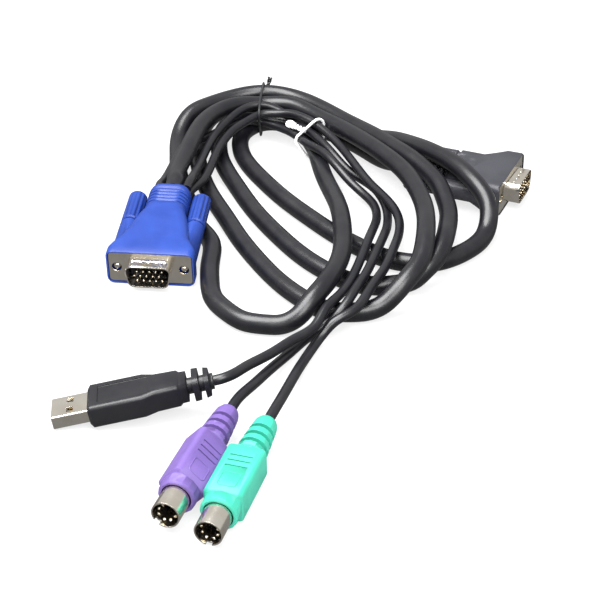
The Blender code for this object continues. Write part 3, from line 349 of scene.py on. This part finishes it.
# %% Routes
MAIN_ROUTE = [
    (-49.5, 58.1, 14.5), (-49.2, 61, 14.8), (-48.8, 64.6, 15.3), (-49, 68.5, 15), (-46.5, 89, 15),
    (-42, 113, 16), (-35.5, 129.5, 15.5), (-25.5, 139.5, 14.5), (-16, 143, 13), (-5.5, 142, 13.5),
    (5, 133.5, 13), (15.5, 120, 13.5), (25.5, 103.5, 15), (34, 86.5, 16.5), (41.5, 69.5, 17),
    (45, 56, 17), (47, 42, 17), (47, 27, 17), (45.5, 13, 16.5), (42.5, 1.5, 14), (38.5, -5, 12),
    (34.5, -9, 9), (29, -12, 5), (22.5, -14, 3.6), (16, -14.5, 3.6), (9.5, -13, 3.6),
    (3, -7.5, 3.6), (-5.5, 3.5, 3.6), (-15, 21, 3.6), (-23, 39.5, 3.6), (-29.5, 58, 3.6),
    (-36.5, 78, 3.6), (-41, 97, 3.6), (-43.5, 116.5, 3.6), (-42.5, 136, 3.6), (-38, 151.5, 3.8),
    (-28.5, 161, 4.6), (-17, 163.5, 5.2), (-5, 161.5, 4.8), (6.5, 155, 3.8), (20.5, 141, 3.6),
    (30.5, 127.5, 5), (39.5, 113, 10.5), (46.5, 101, 14), (52, 90.5, 16.5), (57, 82.5, 17.5),
    (62.5, 73, 18), (67, 64, 17), (70.5, 57.5, 15), (72.5, 53, 12.5), (73, 49, 9.5), (71.5, 43, 5),
    (67, 35, 3.6), (59, 26.5, 3.6), (50, 21.5, 3.6), (41, 21, 3.6), (33, 24, 3.6), (23, 32.5, 3.6),
    (14, 42.5, 3.6), (4, 56.5, 3.6), (-6, 72, 3.6), (-15, 89, 3.6), (-22.5, 106.5, 3.6),
    (-25.5, 122, 3.8), (-24, 132.5, 4.6), (-19.5, 138, 5.4), (-13.5, 140.5, 5.7), (-7, 139.5, 5.5),
    (-0.5, 134, 5.3), (3.5, 125, 5.35), (6.5, 113, 5.25), (9, 93, 6), (13, 68.5, 8),
    (15.5, 45.5, 11.5), (16, 26.5, 12), (15, 12, 12), (12, -0.5, 12), (8, -11, 12), (3.5, -18, 10),
    (0, -21.5, 7), (-6, -23, 4), (-13, -22.5, 3.6), (-19.5, -20.5, 3.6), (-25, -15, 3.6),
    (-31, -5, 3.6), (-33, 7, 3.6), (-33.5, 21.5, 3.6), (-34, 37, 3.6), (-40, 50.5, 3.6),
    (-43.5, 64, 3.6), (-46.5, 78.5, 3.6), (-50, 96.5, 3.6), (-51.5, 114.5, 3.6), (-51.5, 127.5, 6),
    (-47, 137.5, 11), (-40, 144.5, 12), (-28.5, 152.5, 12.4), (-16.5, 155.5, 13), (-5, 153.5, 12.4),
    (7, 144, 12), (19.5, 128, 12), (31, 110.5, 13.5), (39, 95.5, 15), (45.5, 84, 15.5),
    (50.5, 74.5, 15), (54, 65.5, 14.5), (56, 56.5, 13), (57, 46, 11.5), (55.5, 33, 11.5),
    (53, 21, 11.5), (49.5, 13.5, 9), (46, 10, 7), (41, 7, 4), (35, 5, 3.6), (28, 4, 3.6),
    (20.5, 6, 3.6), (12, 12.5, 3.6), (2, 24.5, 3.6), (-8, 41.5, 3.6), (-18, 62.5, 3.6),
    (-26.5, 86, 3.6), (-32.5, 106, 3.6), (-34.5, 124, 3.6), (-32, 140.5, 3.8), (-25.5, 150, 4.7),
    (-17, 153, 5.2), (-6, 149, 4.7), (8, 138.5, 3.8), (21, 126, 3.6), (30.5, 113, 3.6),
    (37.5, 102, 5.5), (42.6, 96.3, 7.6), (46.9, 94.4, 7.6), (49.6, 93.2, 7.6),
]
USB_ROUTE = [
    (-55.2, 58.8, 12.9), (-55.1, 60.5, 13.1), (-55.2, 63.8, 13.3), (-54.5, 73.5, 11),
    (-52, 87, 10.5), (-50, 99, 10.5), (-47, 108.5, 10.5), (-42, 114, 10), (-37, 119, 10),
    (-31.5, 126, 10), (-23.5, 132, 10), (-17, 134, 9), (-11, 131, 8.5), (-3.5, 122, 9.4),
    (3, 110, 10.2), (10, 97.5, 11.7), (15.5, 87.5, 10), (20.5, 80.5, 7), (25.5, 74, 5),
    (29, 66.5, 4.5), (30, 57, 5), (28.5, 42, 8), (25, 24, 10.5), (21.5, 9.5, 10), (18, -2.5, 9.5),
    (13.5, -14, 10), (8.5, -23.5, 10), (5, -31, 8), (-1.5, -38, 7.5), (-10, -50, 9), (-18, -61, 11),
    (-24.3, -70, 12.8), (-26.3, -70.8, 12.6), (-27.7, -70.9, 12.3),
]
KEYBOARD_ROUTE = [
    (-44.1, 57.4, 15.8), (-43.9, 59.1, 16), (-43.3, 62.3, 16.2), (-42, 73, 14.5), (-40, 92.5, 11.5),
    (-36.5, 109.5, 12.5), (-29, 126.5, 14.5), (-22.5, 134.5, 15.5), (-16, 137, 15.5),
    (-11, 137, 14), (-6.5, 135, 12), (1, 124.5, 11.2), (7.5, 112.5, 11.4), (13.5, 101.5, 9.7),
    (20, 92, 6.5), (27, 83, 5.5), (31.5, 73.5, 5.5), (34, 63.5, 4.5), (34, 50.5, 5),
    (31.5, 31, 9.5), (27.5, 15, 10), (23.5, 1, 10), (19, -12, 10.5), (14.5, -20, 8), (7.5, -24, 3),
    (3, -28, 1.75), (-3, -38.5, 2.5), (-9.5, -51, 4), (-16, -66.5, 7), (-21.2, -78.7, 8.4),
    (-21.9, -80.9, 8.3), (-22.3, -82, 8.2),
]
MOUSE_ROUTE = [
    (-44.5, 58, 11.1), (-44.3, 59.6, 11.3), (-43.6, 62.8, 11.4), (-39, 76, 10), (-35, 95.5, 11),
    (-32.5, 107, 11.5), (-28.5, 117, 12.5), (-21.5, 127.5, 13), (-15, 132.5, 13.5),
    (-11.5, 132.5, 13.5), (-5, 130.5, 14.5), (0.5, 126, 15.1), (8, 117.5, 14.4), (15, 106.5, 12.6),
    (21.5, 91, 11), (28.5, 74.5, 9), (35.5, 59, 8.5), (38, 48.5, 8), (37.5, 35, 8.5),
    (34.5, 19, 10.5), (31, 6.5, 10), (26.5, -5, 10), (23, -14.5, 10), (18, -23, 9),
    (12.5, -26.5, 7.5), (8, -29.5, 4), (3, -38.5, 1.75), (-1.5, -54.5, 4), (-6, -72.5, 6.5),
    (-9.1, -85.2, 8.6), (-9.7, -87.1, 8.5), (-10, -88.2, 8.4),
]
MAIN_DIAMETER = 0.0072
THIN_DIAMETER = 0.0035
LEADS = [
    ("main_lead", "main_cable", MAIN_ROUTE, MAIN_DIAMETER, "console"),
    ("usb_lead", "usb_cable", USB_ROUTE, THIN_DIAMETER, "usb"),
    ("keyboard_lead", "keyboard_cable", KEYBOARD_ROUTE, THIN_DIAMETER, "keyboard"),
    ("mouse_lead", "mouse_cable", MOUSE_ROUTE, THIN_DIAMETER, "mouse"),
]
print("route points:", [len(route) for _, _, route, _, _ in LEADS])


# %% A springy curve through the points
SPAN_STEPS = 8


def spline_through(points, steps):
    """A natural cubic spline by chord length, as rows of metres on the table."""
    points = np.array(points, float) * MM
    spans = np.linalg.norm(np.diff(points, axis=0), axis=1)
    slopes = np.diff(points, axis=0) / spans[:, None]
    count = len(points)
    system = np.eye(count)
    target = np.zeros((count, 3))
    for i in range(1, count - 1):
        system[i, i - 1:i + 2] = spans[i - 1], 2.0 * (spans[i - 1] + spans[i]), spans[i]
        target[i] = 6.0 * (slopes[i] - slopes[i - 1])
    bend = np.linalg.solve(system, target)
    curve = []
    for i, span in enumerate(spans):
        for step in range(steps):
            far = step / steps
            near = 1.0 - far
            sag = ((near ** 3 - near) * bend[i] + (far ** 3 - far) * bend[i + 1]) * span ** 2 / 6.0
            curve.append(near * points[i] + far * points[i + 1] + sag)
    curve.append(points[-1])
    return np.array(curve)


def lead_line(route, diameter, steps=SPAN_STEPS):
    """A lead's centre line, never so low that the lead would sink into the table."""
    line = spline_through(route, steps)
    line[:, 2] = np.maximum(line[:, 2], diameter / 2.0)
    return line


# %% The four leads
LEAD_BEVEL_RESOLUTION = 7


def make_lead(name, node, route, diameter):
    """A round black lead that starts in the blue plug and ends in the given plug."""
    line = lead_line(route, diameter) - np.array(LAYOUT_CENTRE)
    data = bpy.data.curves.new(name, "CURVE")
    data.dimensions = "3D"
    data.bevel_depth = diameter / 2.0
    data.bevel_resolution = LEAD_BEVEL_RESOLUTION
    data.use_fill_caps = True
    spline = data.splines.new("POLY")
    spline.points.add(len(line) - 1)
    for point, place in zip(spline.points, line):
        point.co = (*place, 1.0)
    spline.use_smooth = True
    lead = bpy.data.objects.new(name, data)
    bpy.context.scene.collection.objects.link(lead)
    data.materials.append(sheath)
    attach(lead, "cable")
    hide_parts(node)


# %% [markdown]
# ## Skins for the moulded and pressed pieces
# The frame's solids already have the right shape, but their meshes are loose triangles
# that shade flat. A copy with its doubles merged can be shaded smooth where faces meet
# at a small angle, and stays crisp at its real edges. Each skin stands for its solid.

# %% Skins
SMOOTH_ANGLE = math.radians(34.0)
ROUND_PLUG_ANGLE = math.radians(22.0)
FLAT_ANGLE = math.radians(0.5)
MERGE_DISTANCE = 0.000002
D_PLUGS = [
    ("vga", blue_plastic, "blue_moulding"),
    ("console", charcoal_plastic, "charcoal_moulding"),
]
ROUND_PLUGS = [
    ("keyboard", purple_plastic, "purple_moulding"),
    ("mouse", green_plastic, "green_moulding"),
]


def make_skin(node, material, smooth_angle=SMOOTH_ANGLE):
    """A merged, softly shaded copy of a solid."""
    solid = frame["nodes"][node]
    skin = bpy.data.objects.new(node + "_skin", solid.data.copy())
    bpy.context.scene.collection.objects.link(skin)
    choose(skin)
    bpy.ops.object.mode_set(mode="EDIT")
    bpy.ops.mesh.select_all(action="SELECT")
    bpy.ops.mesh.remove_doubles(threshold=MERGE_DISTANCE)
    bpy.ops.mesh.dissolve_limited(angle_limit=FLAT_ANGLE)
    bpy.ops.object.mode_set(mode="OBJECT")
    bpy.ops.object.shade_smooth_by_angle(angle=smooth_angle)
    skin.data.materials.clear()
    skin.data.materials.append(material)
    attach(skin, BODY_OF[node])
    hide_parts(node)
    return skin


for plug, plastic, slot in D_PLUGS:
    make_skin(plug + "_hood", plastic)
    make_skin(plug + "_shell", nickel)
    for hand in ("left", "right"):
        make_skin(plug + "_knob_" + hand, plastic)
        make_skin(plug + "_screw_" + hand, nickel)
for plug, plastic, slot in ROUND_PLUGS:
    make_skin(plug + "_overmould", plastic, ROUND_PLUG_ANGLE)
    make_skin(plug + "_shell", nickel)
make_skin("usb_overmould", black_plastic)
make_skin("usb_shell", nickel)
make_skin("usb_tongue", carrier_plastic)
for number in (1, 2, 3, 4):
    make_skin(f"usb_contact_{number}", contact_gold)

# %% [markdown]
# ## The two wire ties
# A tie is a coated wire pulled tight round the leads, with its two ends twisted together.
# Seen along the bundle, the wire runs round the outside of all the leads that it holds, so
# its loop is the hull of their sections. The white tie ends in a small round tab.

# %% Tie helpers
CROSSING_STEPS = 14
SLANT_ROOM = 0.00145
TIE_CLEARANCE = 0.0001
TWIST_TURNS = 2.0
TIP_START = 0.82
TIP_SPREAD = 1.4
WIRE_BEVEL_RESOLUTION = 4


def crossings(middle, heading, reach):
    """The section (across, height, radius) of each lead that passes through a tie."""
    turn = math.radians(heading)
    normal = Vector((-math.sin(turn), math.cos(turn), 0.0))
    across = Vector((normal.y, -normal.x, 0.0))
    centre = Vector((*middle, 0.0))
    found = []
    for _, _, route, diameter, _ in LEADS:
        line = [Vector(point) - centre for point in lead_line(route, diameter, CROSSING_STEPS)]
        for before, after in zip(line, line[1:]):
            if before.dot(normal) * after.dot(normal) > 0.0:
                continue
            point = before.lerp(after, before.dot(normal) / (before - after).dot(normal))
            if point.xy.length > reach:
                continue
            slant = (after - before).angle(normal)
            slant = min(slant, math.pi - slant)
            radius = diameter / 2.0 / math.cos(slant) + SLANT_ROOM * math.tan(slant)
            found.append((point.dot(across), point.z, radius))
    return found


def hugging_loop(sections, offset, steps=24):
    """The tight loop round sections (across, height, radius), kept offset away."""
    rim = [
        Vector((across + (radius + offset) * math.cos(angle), height + (radius + offset) * math.sin(angle)))
        for across, height, radius in sections
        for angle in (2.0 * math.pi * step / steps for step in range(steps))
    ]
    return [rim[index] for index in geometry.convex_hull_2d(rim)]


def twisted_pair(start, direction, length, radius, steps=48):
    """Two wires wound round each other, whose tips stand a little apart."""
    along = Vector(direction).normalized()
    side = along.orthogonal().normalized()
    up = along.cross(side)
    runs = []
    for phase in (0.0, math.pi):
        run = []
        for step in range(steps + 1):
            share = step / steps
            angle = phase + 2.0 * math.pi * TWIST_TURNS * share
            spread = radius * (1.0 + TIP_SPREAD * max(0.0, share - TIP_START) / (1.0 - TIP_START))
            outward = side * math.cos(angle) + up * math.sin(angle)
            run.append(Vector(start) + along * length * share + outward * spread)
        runs.append((run, False))
    return runs


def make_wire(name, runs, radius, material):
    """Round wire along each run of points, as one mesh."""
    data = bpy.data.curves.new(name, "CURVE")
    data.dimensions = "3D"
    data.bevel_depth = radius
    data.bevel_resolution = WIRE_BEVEL_RESOLUTION
    data.use_fill_caps = True
    for points, closed in runs:
        spline = data.splines.new("POLY")
        spline.points.add(len(points) - 1)
        for target, point in zip(spline.points, points):
            target.co = (*point, 1.0)
        spline.use_cyclic_u = closed
        spline.use_smooth = True
    data.materials.append(material)
    wire = bpy.data.objects.new(name, data)
    bpy.context.scene.collection.objects.link(wire)
    choose(wire)
    bpy.ops.object.convert(target="MESH")
    return wire


def lay_tie(wire, middle, heading, node):
    """From the tie's own frame to the table."""
    turn = Matrix.Rotation(math.radians(heading), 4, "Z")
    wire.data.transform(Matrix.Translation(Vector((*middle, 0.0)) - LAYOUT_CENTRE) @ turn)
    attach(wire, "cable")
    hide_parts(node)
    print(node, "made of", len(wire.data.polygons), "faces")


# %% The black tie, round everything
BLACK_MIDDLE = (-0.0165, 0.148)
BLACK_HEADING = -90.0
BLACK_REACH = 0.024
BLACK_WIRE_RADIUS = 0.00050
BLACK_SLANT = -0.05
BLACK_KNOT = (-0.0196, 0.0010, 0.0060)
BLACK_TIPS = (-0.35, 0.25, 0.9)
BLACK_TIPS_LENGTH = 0.0085

black_sections = crossings(BLACK_MIDDLE, BLACK_HEADING, BLACK_REACH)
black_loop = [
    Vector((across, BLACK_SLANT * across, height))
    for across, height in hugging_loop(black_sections, BLACK_WIRE_RADIUS + TIE_CLEARANCE)
]
black_tips = twisted_pair(BLACK_KNOT, BLACK_TIPS, BLACK_TIPS_LENGTH, BLACK_WIRE_RADIUS)
black_tie = make_wire("black_tie_loop", [(black_loop, True)] + black_tips, BLACK_WIRE_RADIUS, black_wire)
lay_tie(black_tie, BLACK_MIDDLE, BLACK_HEADING, "black_tie")

# %% The white tie, round the thin leads
WHITE_MIDDLE = (0.0040, 0.1165)
WHITE_HEADING = -153.0
WHITE_REACH = 0.010
WHITE_WIRE_RADIUS = 0.00060
WHITE_KNOT = Vector((0.0024, 0.0, 0.0136))
WHITE_TAIL = Vector((0.2, -1.0, -0.06)).normalized()
WHITE_TAIL_LENGTH = 0.0080
WHITE_TAB_RADIUS = 0.0021
WHITE_TAB_THICKNESS = 0.75
WHITE_TAB_SETBACK = 0.8

white_sections = crossings(WHITE_MIDDLE, WHITE_HEADING, WHITE_REACH)
white_loop = [
    Vector((across, 0.0, height))
    for across, height in hugging_loop(white_sections, WHITE_WIRE_RADIUS + TIE_CLEARANCE)
]
white_tips = twisted_pair(WHITE_KNOT, WHITE_TAIL, WHITE_TAIL_LENGTH, WHITE_WIRE_RADIUS)
white_tie = make_wire("white_tie_loop", [(white_loop, True)] + white_tips, WHITE_WIRE_RADIUS, white_wire)
bpy.ops.mesh.primitive_uv_sphere_add(
    segments=24, ring_count=16, radius=WHITE_TAB_RADIUS,
    location=WHITE_KNOT + WHITE_TAIL * (WHITE_TAIL_LENGTH + WHITE_TAB_SETBACK * WHITE_TAB_RADIUS),
    scale=(1.0, 1.0, WHITE_TAB_THICKNESS))
tab = bpy.context.object
bpy.ops.object.transform_apply(location=True, rotation=True, scale=True)
bpy.ops.object.shade_smooth()
tab.data.materials.append(white_wire)
choose(white_tie, tab)
bpy.ops.object.join()
lay_tie(white_tie, WHITE_MIDDLE, WHITE_HEADING, "white_tie")

# %% [markdown]
# ## Insulators and pins
# In the frame each plug's insulator and pins are one solid. Here the copy is cut along the
# insulator's face, and every pin is a turned piece of its own with a rounded tip.

# %% Where each plug lies
PLUG_POSES = {
    "vga": ((-0.0549, 0.0106, 0.0072), (-5.8, 6.5, 0.0)),
    "console": ((0.0846, 0.0776, 0.00762), (66.0, 0.0, -3.0)),
    "keyboard": ((-0.0367, -0.1260, 0.0074), (-18.1, 1.0, 42.0)),
    "mouse": ((-0.0240, -0.1323, 0.0060), (-17.6, 3.0, 0.0)),
    "usb": ((-0.0681, -0.0748, 0.0047), (-84.5, 10.5, -3.0)),
}


def plug_place(plug):
    """The matrix from a plug's own frame (X across, Y to its tail, Z up) to the table."""
    spot, turns = PLUG_POSES[plug]
    yaw, pitch, roll = (math.radians(turn) for turn in turns)
    turn = Euler((pitch, roll, yaw), "YXZ").to_matrix().to_4x4()
    return Matrix.Translation(Vector(spot) - LAYOUT_CENTRE) @ turn


# %% The faint raised outline on the round plugs' grips
OUTLINE_HALF_WIDTH = 0.0029
OUTLINE_HALF_LENGTH = 0.0031
OUTLINE_CORNER = 0.0010
OUTLINE_RIM = 0.00016
OUTLINE_MIDDLE = 0.0103
GRIP_TOP = 0.0054


def rounded_rectangle(half_width, half_length, corner, steps=6):
    """Points round a rectangle whose corners are quarter circles."""
    points = []
    for quarter, (across, along) in enumerate(((1, 1), (-1, 1), (-1, -1), (1, -1))):
        for step in range(steps + 1):
            angle = math.pi / 2.0 * (quarter + step / steps)
            points.append((across * (half_width - corner) + corner * math.cos(angle),
                           along * (half_length - corner) + corner * math.sin(angle)))
    return points


for plug, plastic, slot in ROUND_PLUGS:
    rim = [
        Vector((across, OUTLINE_MIDDLE + along, GRIP_TOP))
        for across, along in rounded_rectangle(OUTLINE_HALF_WIDTH, OUTLINE_HALF_LENGTH, OUTLINE_CORNER)
    ]
    outline = make_wire(plug + "_outline", [(rim, True)], OUTLINE_RIM, plastic)
    outline.data.transform(plug_place(plug))
    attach(outline, "cable")
print("outlines:", len(ROUND_PLUGS))


# %% Insulators
def make_insulator(plug, face):
    """The plug's block without its pins: all in front of the face is cut away."""
    block = make_skin(plug + "_pin_block", insulator_plastic)
    block.name = plug + "_insulator"
    place = plug_place(plug)
    bpy.ops.object.mode_set(mode="EDIT")
    bpy.ops.mesh.select_all(action="SELECT")
    bpy.ops.mesh.bisect(
        plane_co=place @ Vector((0.0, face, 0.0)), plane_no=place.to_3x3() @ Vector((0.0, 1.0, 0.0)),
        clear_inner=True, use_fill=True)
    bpy.ops.object.mode_set(mode="OBJECT")
    bpy.ops.object.shade_smooth_by_angle(angle=SMOOTH_ANGLE)


D_FACE = -0.0011
D_PIN_TIP = -0.0053
D_PIN_RADIUS = 0.00040
D_PIN_PITCH = 0.00229
D_ROW_PITCH = 0.00198
DIN_FACE = -0.0010
DIN_PIN_TIP = -0.0073
DIN_PIN_RADIUS = 0.00045
CUT_DEPTH = 0.00002
for plug, _, _ in D_PLUGS:
    make_insulator(plug, D_FACE + CUT_DEPTH)
for plug, _, _ in ROUND_PLUGS:
    make_insulator(plug, DIN_FACE + CUT_DEPTH)


# %% Pins
PIN_SIDES = 16
PIN_ROOT = 0.0006
TIP_FACING = -0.9
TIP_ROUNDING = 0.7
TIP_STEPS = 4
PIN_SMOOTH_ANGLE = math.radians(40.0)


def make_pin(radius, length):
    """A round pin along Y with its rounded tip at the origin."""
    deselect()
    bpy.ops.mesh.primitive_cylinder_add(
        vertices=PIN_SIDES, radius=radius, depth=length, location=(0.0, length / 2.0, 0.0),
        rotation=(-math.pi / 2.0, 0.0, 0.0))
    pin = bpy.context.object
    bpy.ops.object.transform_apply(location=True, rotation=True, scale=True)
    bpy.ops.object.mode_set(mode="EDIT")
    bpy.ops.mesh.select_all(action="DESELECT")
    bpy.ops.object.mode_set(mode="OBJECT")
    for face in pin.data.polygons:
        face.select = face.normal.y < TIP_FACING
    bpy.ops.object.mode_set(mode="EDIT")
    bpy.ops.mesh.bevel(offset=TIP_ROUNDING * radius, segments=TIP_STEPS, affect="EDGES")
    bpy.ops.object.mode_set(mode="OBJECT")
    bpy.ops.object.shade_smooth_by_angle(angle=PIN_SMOOTH_ANGLE)
    pin.data.materials.append(pin_metal)
    return pin


def plant_pins(plug, places, radius, tip, face):
    """Copies of one pin at each (x, z) place, made one piece that rides with the plug."""
    pin = make_pin(radius, face - tip + PIN_ROOT)
    pins = []
    for x, z in places:
        copy = bpy.data.objects.new(plug + "_pin", pin.data.copy())
        bpy.context.scene.collection.objects.link(copy)
        copy.data.transform(plug_place(plug) @ Matrix.Translation((x, tip, z)))
        pins.append(copy)
    bpy.data.objects.remove(pin)
    choose(*pins)
    bpy.ops.object.join()
    pins[0].name = plug + "_pins"
    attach(pins[0], "cable")


def d_pin_place(row, column):
    """A pin of three rows of five, whose middle row stands half a pitch aside."""
    aside = D_PIN_PITCH / 4.0 if row else -D_PIN_PITCH / 4.0
    return column * D_PIN_PITCH + aside, row * D_ROW_PITCH


D_PLACES = [d_pin_place(row, column) for row in (-1, 0, 1) for column in (-2, -1, 0, 1, 2)]
DIN_PLACES = [(-0.00255, 0.0011), (0.00255, 0.0011), (-0.0024, -0.0011), (0.0024, -0.0011),
              (-0.0011, -0.0027), (0.0011, -0.0027)]
for plug, _, _ in D_PLUGS:
    plant_pins(plug, D_PLACES, D_PIN_RADIUS, D_PIN_TIP, D_FACE)
for plug, _, _ in ROUND_PLUGS:
    plant_pins(plug, DIN_PLACES, DIN_PIN_RADIUS, DIN_PIN_TIP, DIN_FACE)
print("pins:", len(D_PLUGS) * len(D_PLACES) + len(ROUND_PLUGS) * len(DIN_PLACES))


for lead_name, cable, route, diameter, plug in LEADS:
    make_lead(lead_name, cable, route, diameter)
